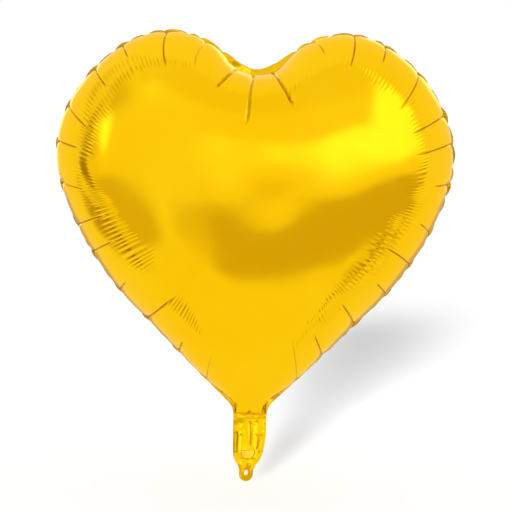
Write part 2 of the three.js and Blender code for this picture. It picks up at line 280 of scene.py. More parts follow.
def membrane(grid):
    """The height of a sheet under even pressure, held at the grid's first ring, as a share of its highest.

    The height is -(x^2 + z^2) plus the fields of sources a little outside the rim, which are set so that it
    is nought along the rim.
    """
    rim = grid[::3, 0]
    near_neck = smoothstep(60, 15, EDGE_Z[::6])
    sources = grid[::6, 0] - INWARD[::6] * mix(SOURCE_OUT, SOURCE_OUT_NECK, near_neck)[:, None]
    size = LOBE_TOP / 2

    def fields(points):
        apart = points[:, None, :] - sources[None, :, :]
        return np.hstack([0.5 * np.log((apart**2).sum(2) / size**2), np.ones((len(points), 1))])

    def load(points):
        return -((points[:, 0]) ** 2 + (points[:, 1] - CROWN[1]) ** 2) / size**2

    amounts = np.linalg.lstsq(fields(rim), -load(rim), rcond=1e-9)[0]
    flat = grid.reshape(-1, 2)
    height = np.concatenate(
        [load(part) + fields(part) @ amounts for part in np.array_split(flat, 40)]
    ).reshape(grid.shape[:2])
    inside = ring_places()[None, :]
    height -= height[:, :1] * (1 - inside) ** 4
    return np.clip(height / height.max(), 0, 1)


# --------------------------------------------------------------------------------------------------
# Creases and ripples


def round_gap(a, b):
    """How far a is past b going round the rim, from minus to plus half the girth."""
    return (a - b + GIRTH / 2) % GIRTH - GIRTH / 2


def rim_creases(rng, spacing, phase):
    """Places round the rim, about spacing apart, of one face's creases."""
    count = int(round(GIRTH / spacing))
    places = (np.arange(count) + phase) * GIRTH / count
    return np.sort((places + rng.uniform(-0.16, 0.16, count) * spacing) % GIRTH)


def wavy(rng, count, along):
    """A smooth random curve round the rim, between about -1 and 1, with count bends."""
    knots = rng.uniform(-1, 1, count)
    at = (along / GIRTH * count) % count
    i = at.astype(int)
    t = at - i
    t = t * t * (3 - 2 * t)
    return knots[i % count] * (1 - t) + knots[(i + 1) % count] * t


def cusp(across, width):
    """A crease's cross-section: 1 on the fold, falling away sharply on both sides."""
    return np.exp(-np.sqrt(across**2 + 0.12) / width)


def by_line(x, z, start, end):
    """Where places lie by a line: how far along, from 0 to 1, and how far across in millimetres."""
    a, b = np.array(start, float), np.array(end, float)
    length = np.hypot(*(b - a))
    way = (b - a) / length
    along = ((x - a[0]) * way[0] + (z - a[1]) * way[1]) / length
    across = (x - a[0]) * way[1] - (z - a[1]) * way[0]
    return along, across


def line_crease(x, z, start, end, width, depth):
    """A crease drawn on the flat from start, where it is deepest and widest, to end."""
    t, across = by_line(x, z, start, end)
    fade = smoothstep(-0.12, 0.05, t) * np.clip(1 - t, 0, 1) ** 0.8
    return depth * fade * cusp(across, mix(width, 0.45 * width, np.clip(t, 0, 1)))


def line_slit(x, z, start, end):
    """The narrow fold in the middle of such a crease, from 0 to 1."""
    t, across = by_line(x, z, start, end)
    width = mix(1.0, 1.25, np.clip(t, 0, 1))
    return np.exp(-((across / width) ** 2)) * smoothstep(-0.06, 0.02, t) * smoothstep(1.02, 0.8, t)


class Face:
    """One heart's surface as a grid of points, seen from the front: [column, ring] gives x, y and z."""

    def __init__(self, grid, share, creases, other_creases, long_creases, side, seed):
        self.rng = np.random.default_rng(seed)
        self.side = side
        self.creases, self.other, self.long = creases, other_creases, long_creases
        self.base(grid, share)
        self.displace()

    def base(self, grid, share):
        """The smooth crown, kept within the wedge at the neck and curled in towards the seam."""
        from_neck = np.hypot(np.clip(np.abs(grid[..., 0]) - 0.5 * NECK_HALF, 0, None), grid[..., 1])
        cone = CONE_START + CONE_SLOPE * from_neck + from_neck**2 / CONE_WIDENING
        rise = DEPTH * (1 - (1 - share) ** CROWN_ROUND) ** CROWN_POWER
        rise = rise * cone / (rise**CONE_POWER + cone**CONE_POWER) ** (1 / CONE_POWER)
        curl = BULGE[:, None] * (1 - np.clip(rise / PINCH_DEPTH, 0, 1)) ** PINCH_POWER
        flat = grid + INWARD[:, None, :] * curl[..., None]
        self.points = np.stack([flat[..., 0], -rise, flat[..., 1]], axis=2)
        steps = np.linalg.norm(np.diff(self.points, axis=1), axis=2)
        self.deep = np.concatenate([np.zeros((COLUMNS, 1)), np.cumsum(steps, axis=1)], axis=1)
        across = (np.roll(self.points, -1, axis=0) - np.roll(self.points, 1, axis=0)) / 2
        self.spread = np.linalg.norm(across, axis=2) / (GIRTH / COLUMNS)
        normals = np.cross(across, np.gradient(self.points, axis=1))
        self.normals = unit(normals + 1e-12)
        if self.normals[0, -1, 1] > 0:
            self.normals = -self.normals
        self.inset = np.linalg.norm(grid - EDGE[:, None, :], axis=2)

    def seam_wave(self):
        """How far each column of the seam zigzags: from -1 at its own creases to 1 at the other face's."""
        knots = np.r_[self.creases, self.other]
        heights = np.r_[np.full(len(self.creases), -1.0), np.full(len(self.other), 1.0)]
        order = np.argsort(knots)
        zigzag = np.interp(ROUND, knots[order], heights[order], period=GIRTH)
        return smooth_round(zigzag, 2) * mix(ZIGZAG_AT_NECK, 1, PAST_NECK)

    def between(self):
        """How far each column lies from the crease before it to the one after it, from 0 to 1."""
        places = np.r_[self.creases[-1] - GIRTH, self.creases, self.creases[0] + GIRTH]
        after = np.searchsorted(places, ROUND, side="right")
        return (ROUND - places[after - 1]) / (places[after] - places[after - 1])

    def pleats(self, places, depths, lengths, widths, slit):
        """Folds that run in from the rim: a wide valley, and in it a narrow slit that goes on further."""
        total = np.zeros(self.deep.shape)
        for place in places:
            depth, length, width = (self.rng.uniform(*pair) for pair in (depths, lengths, widths))
            bend = self.rng.uniform(-CREASE_BEND, CREASE_BEND)
            column = int(np.abs(round_gap(ROUND, place)).argmin())
            free = PLEATED[column]
            gap = round_gap(ROUND[:, None], place) * self.spread + bend * self.deep
            fade = np.clip(1 - self.deep / length, 0, 1)
            narrow = np.exp(-((gap / SLIT_WIDTH) ** 2)) * smoothstep(*SLIT_FADE[::-1], self.deep / length)
            narrow *= smoothstep(*SLIT_START, self.deep) * free * (slit > 0)
            valley = cusp(gap, VALLEY_LEAST + width * fade)
            total += free * depth * fade**VALLEY_POWER * valley + slit * narrow
            # the slit is also where the material paints shade
            self.fold += narrow
        return total

    def comb(self):
        """The band of fine parallel ripples a little inside the rim."""
        phase = (ROUND + COMB_JITTER * wavy(self.rng, 90, ROUND)) / COMB_PITCH
        count = int(GIRTH / COMB_PITCH) + 3
        i = np.floor(phase).astype(int) % count
        middle = self.rng.uniform(*COMB_INSET, count)
        middle = middle + COMB_WANDER * wavy(self.rng, 24, np.arange(count) * COMB_PITCH)
        length = self.rng.uniform(*COMB_LENGTH, count)
        strength = self.rng.uniform(*COMB_STRENGTH, count)
        patch = smoothstep(-0.95, 0.0, wavy(self.rng, 22, ROUND)) * PAST_NECK
        ridge = np.sin(np.pi * phase) ** 2
        fade = np.exp(-(((self.inset - middle[i][:, None]) / length[i][:, None]) ** 2))
        return COMB_DEPTH * (patch * strength[i] * ridge)[:, None] * fade

    def swell(self):
        """Slow, uneven swelling of the whole face."""
        x, z = self.points[..., 0], self.points[..., 2]
        total = np.zeros(x.shape)
        for _ in range(SWELL_WAVES):
            angle, length, shift = (self.rng.uniform(*pair) for pair in ((0, 3.1), (45, 120), (0, 6.3)))
            along = x * math.cos(angle) + z * math.sin(angle)
            total += np.sin(along * 2 * math.pi / length + shift)
        return SWELL * total

    def displace(self):
        """Lay the creases, ripples and swelling on the crown, along its normals, and zigzag the rim."""
        x, z = self.points[..., 0], self.points[..., 2]
        # where the material paints shade: the creases' slits
        self.fold = np.zeros(self.deep.shape)
        move = -self.pleats(self.creases, *CREASES, SLIT)
        small = rim_creases(self.rng, SMALL_SPACING, 0.3)
        move -= self.pleats(small, *SMALL_CREASES, 0)
        pillow = np.sin(np.pi * self.between()) ** 0.7
        move += (PILLOW * pillow[:, None] - PILLOW_SINK) * np.exp(-self.deep / PILLOW_REACH)
        for start, end, width, depth in self.long:
            slit = line_slit(x, z, start, end)
            move -= line_crease(x, z, start, end, width, depth) + SLIT * slit
            self.fold += slit
        move -= self.comb()
        shoulder = np.exp(-(((self.inset - SHOULDER_INSET) / SHOULDER_WIDTH) ** 2))
        move += SHOULDER * shoulder * PAST_NECK[:, None]
        move += self.swell()
        move *= smoothstep(0, RIM_STILL, self.deep)
        self.wave = self.seam_wave()
        self.crown = self.points + self.normals * move[..., None]
        self.crown[..., 1] += ZIGZAG * self.wave[:, None] * np.exp(-((self.deep / ZIGZAG_REACH) ** 2))

    def margin(self):
        """The sealed margin's rings, from its edge in to the seam's root."""
        root = self.crown[:, 0]
        out = -np.stack([INSET[:, 0], np.zeros(COLUMNS), INSET[:, 1]], axis=1)
        rng = np.random.default_rng(SEED + 9)
        puffs = np.abs(np.sin(np.pi * (ROUND / SCALLOP_PITCH + 0.25 * wavy(rng, 60, ROUND)))) ** 0.7
        reach = SEAM_WIDTH + SCALLOP * (puffs - 0.5) * PAST_NECK * PAST_NOTCH
        edge = root + out * reach[:, None]
        edge[:, 1] += EDGE_WAVE * self.wave + EDGE_RUFFLE * self.side * wavy(rng, 160, ROUND)
        at_neck = EDGE_Z < NECK_END + 0.5
        off = np.clip(np.abs(EDGE_X) / NECK_HALF, 0, 1)
        edge[:, 2] -= (NECK_SAG * (1 - off**2) + NECK_SAG_FLAT * (1 - off**8)) * at_neck
        edge[:, 1] -= NECK_OUT * (1 - off**8) * at_neck
        edge[:, 1] += NOTCH_SPREAD * self.side * (1 - PAST_NOTCH)
        ruffle = wavy(rng, 300, ROUND)
        rings = []
        for k in range(MARGIN_RINGS):
            ring = mix(edge, root, k / MARGIN_RINGS)
            ring[:, 1] += MARGIN_RUFFLE * self.side * math.sin(math.pi * k / MARGIN_RINGS) * ruffle
            rings.append(ring)
        return rings


def ring_strides():
    """For each of the crown's rings, how many columns apart its points are."""
    return [2 ** sum(place > halving for halving in HALVINGS) for place in ring_places()]


def stitch(first, fine, coarse, ring, following):
    """The faces between two rings, the second of which has as many points or half as many."""
    a, b = first[ring], first[following]
    n = COLUMNS // coarse
    i = np.arange(n)
    j = (i + 1) % n
    if fine == coarse:
        return np.stack([a + i, a + j, b + j, b + i], axis=1).tolist()
    left, middle, right = a + 2 * i, a + 2 * i + 1, a + (2 * i + 2) % (2 * n)
    return np.vstack([
        np.stack([left, middle, b + i], axis=1),
        np.stack([middle, b + j, b + i], axis=1),
        np.stack([middle, right, b + j], axis=1),
    ]).tolist()


def new_object(name, vertices, faces):
    mesh = bpy.data.meshes.new(name)
    mesh.from_pydata(vertices, [], faces)
    mesh.validate()
    mesh.shade_smooth()
    piece = bpy.data.objects.new(name, mesh)
    bpy.context.scene.collection.objects.link(piece)
    return piece


def paint(piece, name, values):
    """A number for each vertex, which the material reads."""
    layer = piece.data.attributes.new(name, "FLOAT", "POINT")
    layer.data.foreach_set("value", np.clip(values, 0, 1))


def thicken(piece, thickness):
    """Give a sheet its thickness, inwards from the side that its faces look out of."""
    solid = piece.modifiers.new("thickness", "SOLIDIFY")
    solid.thickness = thickness * MM
    solid.offset = -1
    solid.use_even_offset = False
    solid.use_rim = True
    graph = bpy.context.evaluated_depsgraph_get()
    mesh = bpy.data.meshes.new_from_object(piece.evaluated_get(graph))
    piece.modifiers.clear()
    piece.data = mesh
    return piece


def heart(name, face, mirrored):
    """A face's mesh: every column at the margin and the rim, and half as many after each halving."""
    strides = [1] * MARGIN_RINGS + ring_strides()
    rings = face.margin() + [face.crown[::stride, k] for k, stride in enumerate(ring_strides())]
    first = np.r_[0, np.cumsum([len(ring) for ring in rings])]
    vertices = np.vstack(rings + [face.crown[:, -1].mean(axis=0)[None, :]])
    vertices[:, 1] -= mix(NECK_CLEAR, MARGIN_GAP, smoothstep(9, 26, vertices[:, 2]))
    faces = []
    for k in range(len(rings) - 1):
        faces += stitch(first, strides[k], strides[k + 1], k, k + 1)
    n = len(rings[-1])
    i = np.arange(n)
    last = first[-2]
    faces += np.stack([last + i, last + (i + 1) % n, np.full(n, len(vertices) - 1)], axis=1).tolist()
    if mirrored:
        vertices = vertices * (1, -1, 1)
        faces = [corners[::-1] for corners in faces]
    # What the material reads: the slits, and how far each point lies out on the margin; it paints shade on
    # both
    folds = [np.zeros(COLUMNS)] * MARGIN_RINGS
    folds += [face.fold[::stride, k] for k, stride in enumerate(ring_strides())]
    # The margin's value, and so its painted shade, roughness and ribs, is strongest where it is turned
    # back, away from the notch
    turned = 0.3 + 0.7 * smoothstep(45, 110, np.abs(EDGE_X))
    edges = np.concatenate([turned * (1 - 0.5 * k / MARGIN_RINGS) for k in range(MARGIN_RINGS)])
    piece = new_object(name, vertices * MM, faces)
    paint(piece, "fold", np.r_[np.concatenate(folds), 0])
    paint(piece, "margin", np.r_[edges, np.zeros(len(vertices) - len(edges))])
    return thicken(piece, FOIL)


# The longer creases at the notch and the neck: start, end, and the width and depth of each one's valley.
FRONT_LONG = [
    ((-20, 328), (-38, 304), 2.0, 1.0),
    ((-3.4, 325), (-8.6, 269), 2.0, 1.2),
    ((13.4, 328), (34, 288), 2.0, 1.1),
    ((-14.6, 4), (-13.6, 15), 1.4, 0.8),
    ((11.6, 5), (14.2, 13), 1.2, 0.7),
    ((14.6, 2), (15.2, 14), 1.2, 0.8),
    ((-2, 2), (0.4, 7), 1.6, 0.6),
]
BACK_LONG = [
    ((-14, 326), (-40, 290), 2.4, 1.6),
    ((2, 326), (6, 272), 2.4, 1.6),
    ((15, 326), (36, 306), 2.2, 1.2),
    ((-13, 4), (-14, 15), 1.3, 0.8),
    ((12, 4), (14, 14), 1.3, 0.8),
]


def make_hearts():
    """Both hearts. The back one's creases lie half-way between the front one's."""
    grid = flat_grid()
    share = membrane(grid)
    front_places = rim_creases(np.random.default_rng(SEED), CREASE_SPACING, 0.5)
    ahead = np.r_[front_places[1:], front_places[0] + GIRTH]
    back_places = np.sort((front_places + ahead) / 2 % GIRTH)
    front = Face(grid, share, front_places, back_places, FRONT_LONG, 1, SEED + 1)
    back = Face(grid, share, back_places, front_places, BACK_LONG, -1, SEED + 2)
    return heart("front_heart", front, False), heart("back_heart", back, True)


front_heart, back_heart = make_hearts()
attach(front_heart, "envelope")
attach(back_heart, "envelope")
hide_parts("front_panel", "neck_crease")
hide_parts("back_panel")

# --------------------------------------------------------------------------------------------------
# The tail: two crumpled plies and the valve's films between them

PORT_HALF, PORT_TOP, PORT_DROP = 6.7, TAIL_END + 28.6, 7.4
HOLE_Z, HOLE_R = TAIL_END + 8.1, 2.1
FILM_HALF, FILM_TOP, FILM_END = 8.8, 1.2, TAIL_END + 17.6
TAIL_TOP = 6.5
PLY_OUT, FILM_OUT = 0.8, 0.3  # from the bent middle plane to each ply and film
PLY_CRUMPLE, FILM_CRUMPLE = 1.0, 0.1  # the share of the crumples that each takes
FILM = 0.06  # the film's thickness as it is drawn
GRAIN = 0.62  # the spacing of a sheet's points
JITTER = 0.1  # how far a point may stray from its place in the grid
TAIL_SWAY = 2.6  # how far the tab hangs to the left
TAB_TOP = -41
TAB, TAB_NECK = 6.6, 3.5  # the tab's half width, and how far above its middle its sides begin
LEAN, LEAN_START = 0.21, 6  # how much the tail hangs forward, and how gradually that starts
TAB_LEAN, TAB_LEAN_START = 0.13, 3  # and how much its tab hangs back again
CURL, CURL_START, CURL_WIDTH = 1.6, 9, 6  # of the tail's two long edges, out of its plane
HANG, HANG_LENGTH, HANG_SLANT = 0.14, 5.0, 0.16  # of the slight waves across it
CRUMPLES, CRUMPLE_HEIGHT = 9, 0.022  # how many waves, and their height as a share of their length
LIP_WIDTH, LIP_SHADE = 0.7, 0.9  # the line of painted shade round the port's lower edge


def tail_outline():
    """The tail's right side from the top down to the tip, and back up the left side."""
    shoulder = 0.873 * NECK_HALF
    centre = TAIL_END + TAB
    curves = [
        ((NECK_HALF - 0.6, TAIL_TOP), (NECK_HALF, 3), (NECK_HALF, -6), (NECK_HALF, -12)),
        ((NECK_HALF, -12), (NECK_HALF, -20), (shoulder + 1, -28), (shoulder, -34)),
        ((shoulder, -34), (12, -43), (TAB + 1.5, -42), (TAB, centre + TAB_NECK)),
        ((TAB, centre + TAB_NECK), (TAB, centre), (TAB, centre), (TAB, centre)),
    ]
    side = np.vstack([bezier(c, 40)[:-1] for c in curves])
    turn = np.linspace(0, math.pi / 2, 20)
    side = np.vstack([side, np.stack([TAB * np.cos(turn), centre - TAB * np.sin(turn)], axis=1)])
    return evenly(np.vstack([side, side[-2::-1] * (-1, 1)]), GRAIN)


def evenly(line, step):
    """A closed line's points again, one every step along it."""
    line = np.vstack([line, line[:1]])
    along = np.r_[0, np.cumsum(np.linalg.norm(np.diff(line, axis=0), axis=1))]
    at = np.linspace(0, along[-1], int(along[-1] / step) + 1)[:-1]
    return np.stack([np.interp(at, along, line[:, k]) for k in (0, 1)], axis=1)


def port_outline():
    """A half-moon: straight across the top."""
    turn = np.linspace(0, math.pi, 40)
    x, z = PORT_HALF * np.cos(turn), PORT_TOP - PORT_DROP * np.sin(turn) ** 0.8
    return evenly(np.stack([x, z], axis=1), 0.5)


def hole_outline():
    """The ribbon's hole, pulled a little longer than it is wide."""
    turn = np.linspace(0, 2 * math.pi, 28, endpoint=False)
    return np.stack([HOLE_R * 0.85 * np.cos(turn), HOLE_Z + HOLE_R * 1.1 * np.sin(turn)], axis=1)


def film_outline():
    """A valve film's run through the tail: a plain strip."""
    x, top, end = FILM_HALF, FILM_TOP, FILM_END
    return evenly(np.array([(x, top), (x, end), (-x, end), (-x, top)]), GRAIN)


def inside(points, ring):
    """Which points lie inside a closed ring."""
    found = np.zeros(len(points), bool)
    for (ax, az), (bx, bz) in zip(ring, np.roll(ring, -1, axis=0)):
        crosses = (az > points[:, 1]) != (bz > points[:, 1])
        at = ax + (points[:, 1] - az) * (bx - ax) / (bz - az + 1e-12)
        found ^= crosses & (points[:, 0] < at)
    return found


def sheet_points(outline, holes, seed):
    """A flat sheet's points and triangles, with its outline and holes kept."""
    rng = np.random.default_rng(seed)
    low, high = outline.min(axis=0), outline.max(axis=0)
    xs, zs = np.arange(low[0], high[0], GRAIN), np.arange(low[1], high[1], 0.87 * GRAIN)
    grid = np.stack(np.meshgrid(xs, zs), axis=2).astype(float)
    grid[::2, :, 0] += GRAIN / 2
    grid = grid.reshape(-1, 2) + rng.uniform(-JITTER, JITTER, (len(xs) * len(zs), 2))
    rings = [outline, *holes]
    near = np.full(len(grid), 1e9)
    for ring in rings:
        near = np.minimum(near, np.linalg.norm(grid[:, None] - ring[None], axis=2).min(axis=1))
    keep = inside(grid, outline) & (near > 0.5 * GRAIN)
    for hole in holes:
        keep &= ~inside(grid, hole)
    points, edges, start = [], [], 0
    for ring in rings:
        points.append(ring)
        edges += [(start + i, start + (i + 1) % len(ring)) for i in range(len(ring))]
        start += len(ring)
    flat = np.vstack(points + [grid[keep]])
    made = delaunay_2d_cdt([Vector(p) for p in flat], edges, [], 0, 1e-6)
    flat, triangles = np.array([tuple(p) for p in made[0]]), np.array(made[2])
    middle = flat[triangles].mean(axis=1)
    good = inside(middle, outline)
    for hole in holes:
        good &= ~inside(middle, hole)
    return flat, triangles[good]


# Folds pressed into the tail: start, end, width and depth away from the viewer in front.
TAIL_FOLDS = [
    ((0.8, -6), (1.6, -30), 1.1, 1.5),
    ((-2.0, -7), (-1.2, -20), 1.3, -0.7),
    ((3.6, -8), (4.0, -22), 1.4, -0.6),
    ((-13.2, -15), (-11.6, -40), 1.5, 2.4),
    ((-10.2, -13), (-9.4, -36), 1.1, -1.1),
    ((-7.8, -17), (-6.8, -33), 0.9, 0.9),
    ((8.6, -17), (7.6, -32), 1.1, 1.3),
    ((11.4, -12), (10.4, -33), 1.4, -0.9),
    ((14.5, -7), (12.6, -26), 1.2, 1.0),
    ((-6.0, -5), (-9.5, -16), 1.2, 0.8),
    ((6.5, -4), (9.0, -14), 1.2, 0.7),
    ((-5.5, -39), (-2.6, -51), 1.1, 1.0),
    ((5.6, -39), (3.2, -52), 1.1, 1.1),
    ((0.4, -40), (0.0, -48), 1.4, -0.8),
    ((-12.0, -33), (-5.0, -44), 1.3, 0.9),
    ((12.0, -32), (5.6, -44), 1.3, 1.0),
]


# Where the tail's folds are darkened with painted shade: start and end.
TAIL_FOLD_SHADES = [
    ((-14.4, -15), (-13.4, -38)),
    ((-11.0, -17), (-10.4, -34)),
    ((8.8, -18), (8.0, -31)),
    ((0.8, -6), (1.4, -28)),
]


def tail_bend(x, z):
    """How far the whole tail lies behind its middle plane, folds and all. It hangs a little forward."""
    free = smoothstep(-2, -14, z)
    hung, tab = np.clip(1 - z, 0, None), np.clip(TAB_TOP - z, 0, None)
    turned = np.clip((np.abs(x) - CURL_START) / CURL_WIDTH, 0, 1) ** 2
    curl = CURL * turned * np.where(x < 0, 1.0, -0.5)
    lean = -LEAN * hung**2 / (hung + LEAN_START) + TAB_LEAN * tab**2 / (tab + TAB_LEAN_START)
    hang = HANG * np.sin(z / HANG_LENGTH + HANG_SLANT * x)
    total = lean + free * (curl + hang)
    for start, end, width, depth in TAIL_FOLDS:
        total = total + line_crease(x, z, start, end, width, depth) * smoothstep(-1, -6, z)
    return total


def crumple(x, z, seed):
    """Each ply's own small creases, as flat facets."""
    rng = np.random.default_rng(seed)
    total = np.zeros_like(x)
    for _ in range(CRUMPLES):
        angle, length, shift = (rng.uniform(*pair) for pair in ((0, 3.1), (9, 26), (0, 1)))
        phase = (x * math.cos(angle) + z * math.sin(angle)) / length + shift
        total += (np.abs((phase % 1) - 0.5) - 0.25) * length * CRUMPLE_HEIGHT
    return total * smoothstep(0, -8, z)


def tail_sheet(name, outline, holes, seed, out, own, thickness, front):
    """One sheet of the tail. It stands out from the bend by out, and its crumples only take it further."""
    flat, triangles = sheet_points(outline, holes, seed)
    x, z = flat[:, 0], flat[:, 1]
    away = out + own * (crumple(x, z, seed) + 0.25)
    y = tail_bend(x, z) + (-away if front else away)
    vertices = np.stack([x - TAIL_SWAY * smoothstep(-12, -56, z), y, z], axis=1)
    a, b, c = (vertices[triangles[:, k]] for k in range(3))
    wrong = (np.cross(b - a, c - a)[:, 1] > 0) == front
    triangles[wrong] = triangles[wrong][:, ::-1]
    piece = new_object(name, vertices * MM, triangles.tolist())
    # Painted shade along the pressed folds and, on the front sheets, round the port's lower edge
    shaded_folds = sum(line_slit(x, z, *ends) for ends in TAIL_FOLD_SHADES)
    lower_edge = [(px, pz) for px, pz in port_outline() if pz < PORT_TOP - 2]
    lip = np.min([np.hypot(x - px, z - pz) for px, pz in lower_edge], axis=0)
    paint(piece, "fold", shaded_folds + LIP_SHADE * np.exp(-((lip / LIP_WIDTH) ** 2)) * front)
    return thicken(piece, thickness)


def make_tail():
    """Two plies with the two films between them. Each is drawn past the fold at the tail's root, where its
    shape bends forward.
    """
    port, hole, film = port_outline(), hole_outline(), film_outline()
    outline = tail_outline()
    ply, inner = (PLY_OUT, PLY_CRUMPLE, FOIL), (FILM_OUT, FILM_CRUMPLE, FILM)
    pieces = {
        "tail_front_ply": tail_sheet("tail_front_foil", outline, [port, hole], 31, *ply, True),
        "tail_back_ply": tail_sheet("tail_back_foil", outline, [hole], 32, *ply, False),
        "tail_valve_front_film": tail_sheet("tail_film_front", film, [], 33, *inner, True),
        "tail_valve_back_film": tail_sheet("tail_film_back", film, [], 34, *inner, False),
    }
    for node, piece in pieces.items():
        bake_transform(piece)
        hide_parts(node)
    return list(pieces.values())


tail_pieces = make_tail()

# --------------------------------------------------------------------------------------------------
# Materials

GOLD, PALE_GOLD = (1.0, 0.575, 0.002, 1), (1.0, 0.60, 0.004, 1)
# Painted shade on the margin where it is turned back, and how much of it is mixed in
MARGIN_SHADE_BROWN, MARGIN_SHADE_SHARE = (0.40, 0.19, 0.003, 1), 0.75
# Painted shade in the creases' slits, the tail's pressed folds and the port's lower edge, and how much of
# it is mixed in
FOLD_SHADE_BROWN, FOLD_SHADE_SHARE = (0.30, 0.13, 0.001, 1), 0.72
GLANCING_GOLD = (1.0, 0.92, 0.66, 1)
MILK, PALE_MILK = (0.80, 0.78, 0.73, 1), (0.90, 0.88, 0.85, 1)
FILM_ALPHA = 0.012  # clear film hardly shows
SEAL_PITCH = 1100


class Nodes:
    """Short names for the node tree calls."""

    def __init__(self, tree):
        self.tree = tree
        tree.nodes.clear()

    def add(self, kind, **settings):
        node = self.tree.nodes.new(kind)
        for name, value in settings.items():
            if name in node.inputs:
                node.inputs[name].default_value = value
            else:
                setattr(node, name, value)
        return node

    def link(self, output, target):
        self.tree.links.new(output, target)

    def feed(self, value, target):
        if isinstance(value, bpy.types.NodeSocket):
            self.link(value, target)
        else:
            target.default_value = value

    def math(self, operation, *values):
        node = self.add("ShaderNodeMath", operation=operation)
        for value, target in zip(values, node.inputs):
            self.feed(value, target)
        return node.outputs[0]

    def ramp(self, value, start, end, low=0.0, high=1.0):
        """Smoothly from low, where value is at start, to high, where it is at end."""
        node = self.add("ShaderNodeMapRange", interpolation_type="SMOOTHSTEP")
        for number, target in zip((value, start, end, low, high), node.inputs):
            self.feed(number, target)
        return node.outputs[0]

    def noise(self, place, scale, detail):
        node = self.add("ShaderNodeTexNoise", Scale=scale, Detail=detail)
        self.link(place, node.inputs["Vector"])
        return node.outputs["Fac"]

    def weave(self, place, scale):
        """The fine crossed ribs that a heat sealer presses in."""
        ribs = []
        for direction in ("X", "Z"):
            node = self.add("ShaderNodeTexWave", bands_direction=direction, Scale=scale / 6.2832)
            self.link(place, node.inputs["Vector"])
            ribs.append(node.outputs["Fac"])
        return self.math("MULTIPLY", *ribs)

    def bump(self, height, strength, distance, under=None):
        node = self.add("ShaderNodeBump", Distance=distance)
        self.feed(strength, node.inputs["Strength"])
        self.link(height, node.inputs["Height"])
        if under is not None:
            self.link(under, node.inputs["Normal"])
        return node.outputs[0]

    def blend(self, share, a, b):
        """Colour a where share is 0, b where it is 1."""
        node = self.add("ShaderNodeMix", data_type="RGBA")
        self.feed(share, node.inputs[0])
        self.feed(a, node.inputs[6])
        self.feed(b, node.inputs[7])
        return node.outputs[2]


def foil_material():
    """Gold metallised film: mirror-like, darkened by painted shade in its sharp folds and turned-back
    margin, which is also duller.
    """
    material = bpy.data.materials.new("gold_foil_film")
    material.use_nodes = True
    n = Nodes(material.node_tree)
    place = n.add("ShaderNodeTexCoord").outputs["Object"]
    fold = n.add("ShaderNodeAttribute", attribute_name="fold").outputs["Fac"]
    margin = n.add("ShaderNodeAttribute", attribute_name="margin").outputs["Fac"]
    tone = n.noise(place, 9, 2)
    gold = n.blend(n.ramp(tone, 0.3, 0.7), GOLD, PALE_GOLD)
    # Painted shade on the turned-back margin
    gold = n.blend(n.math("MULTIPLY", margin, MARGIN_SHADE_SHARE), gold, MARGIN_SHADE_BROWN)
    # Painted shade in the creases' slits, the tail's pressed folds and the port's lower edge
    gold = n.blend(n.math("MULTIPLY", fold, FOLD_SHADE_SHARE), gold, FOLD_SHADE_BROWN)
    shader = n.add("ShaderNodeBsdfPrincipled")
    n.link(gold, shader.inputs["Base Color"])
    shader.inputs["Metallic"].default_value = 1.0
    shader.inputs["Specular Tint"].default_value = GLANCING_GOLD
    rough = n.ramp(n.noise(place, 60, 3), 0.3, 0.7, 0.10, 0.16)
    n.link(n.math("ADD", rough, n.math("MULTIPLY", margin, 0.10)), shader.inputs["Roughness"])
    peel = n.bump(n.noise(place, 220, 2), 0.05, 0.00025)
    seal = n.bump(n.weave(place, SEAL_PITCH), n.math("MULTIPLY", margin, 0.5), 0.00012, peel)
    n.link(seal, shader.inputs["Normal"])
    out = n.add("ShaderNodeOutputMaterial")
    n.link(shader.outputs[0], out.inputs["Surface"])
    return material


def film_material():
    """The filling valve's film, so clear that only a little milkiness shows."""
    material = bpy.data.materials.new("clear_valve_film")
    material.use_nodes = True
    n = Nodes(material.node_tree)
    place = n.add("ShaderNodeTexCoord").outputs["Object"]
    shader = n.add("ShaderNodeBsdfPrincipled")
    milk = n.blend(n.noise(place, 120, 2), MILK, PALE_MILK)
    n.link(milk, shader.inputs["Base Color"])
    n.link(n.ramp(n.noise(place, 300, 2), 0.3, 0.7, 0.22, 0.38), shader.inputs["Roughness"])
    shader.inputs["Alpha"].default_value = FILM_ALPHA
    n.link(n.bump(n.noise(place, 500, 3), 0.15, 0.0001), shader.inputs["Normal"])
    out = n.add("ShaderNodeOutputMaterial")
    n.link(shader.outputs[0], out.inputs["Surface"])
    return material


def clothe(piece, material):
    piece.data.materials.clear()
    piece.data.materials.append(material)


FOIL_LOOK, FILM_LOOK = foil_material(), film_material()
for piece in (front_heart, back_heart, *tail_pieces):
    clothe(piece, FILM_LOOK if "film" in piece.name else FOIL_LOOK)
for node in ("valve_front_film", "valve_back_film"):
    for slot in bpy.data.objects[node].material_slots:
        slot.material = FILM_LOOK

# --------------------------------------------------------------------------------------------------
# Floor, light and camera

FLOOR_HALF = 30.0  # metres
FLOOR_BELOW = 15  # millimetres below the tail's end

# Two low, soft suns from the front left: name, direction towards it, and strength
LOW_LIGHTS = [
    ("low_light", (-0.28, -2.32, 0.25), 8.9),
    ("lower_light", (-0.35, -2.32, 0.165), 13.5),
]
SUN_ANGLE = math.radians(7)

CAMERA_PLACE = (0.0025, -1.221, 0.1536)
CAMERA_LEAN = math.radians(1.25)


def make_floor():
    half, height = FLOOR_HALF, (TAIL_END - FLOOR_BELOW) * MM
    corners = [(-half, -half, height), (half, -half, height), (half, half, height), (-half, half, height)]
    floor = new_object("floor", corners, [(0, 1, 2, 3)])
    material = bpy.data.materials.new("pale_floor")
    material.use_nodes = True
    shader = material.node_tree.nodes["Principled BSDF"]
    shader.inputs["Base Color"].default_value = (0.75, 0.75, 0.75, 1)
    shader.inputs["Roughness"].default_value = 1.0
    shader.inputs["Specular IOR Level"].default_value = 0.0
    shader.inputs["Emission Color"].default_value = (1, 1, 1, 1)
    shader.inputs["Emission Strength"].default_value = 0.10
    floor.data.materials.append(material)
    floor.visible_glossy = False
    return floor


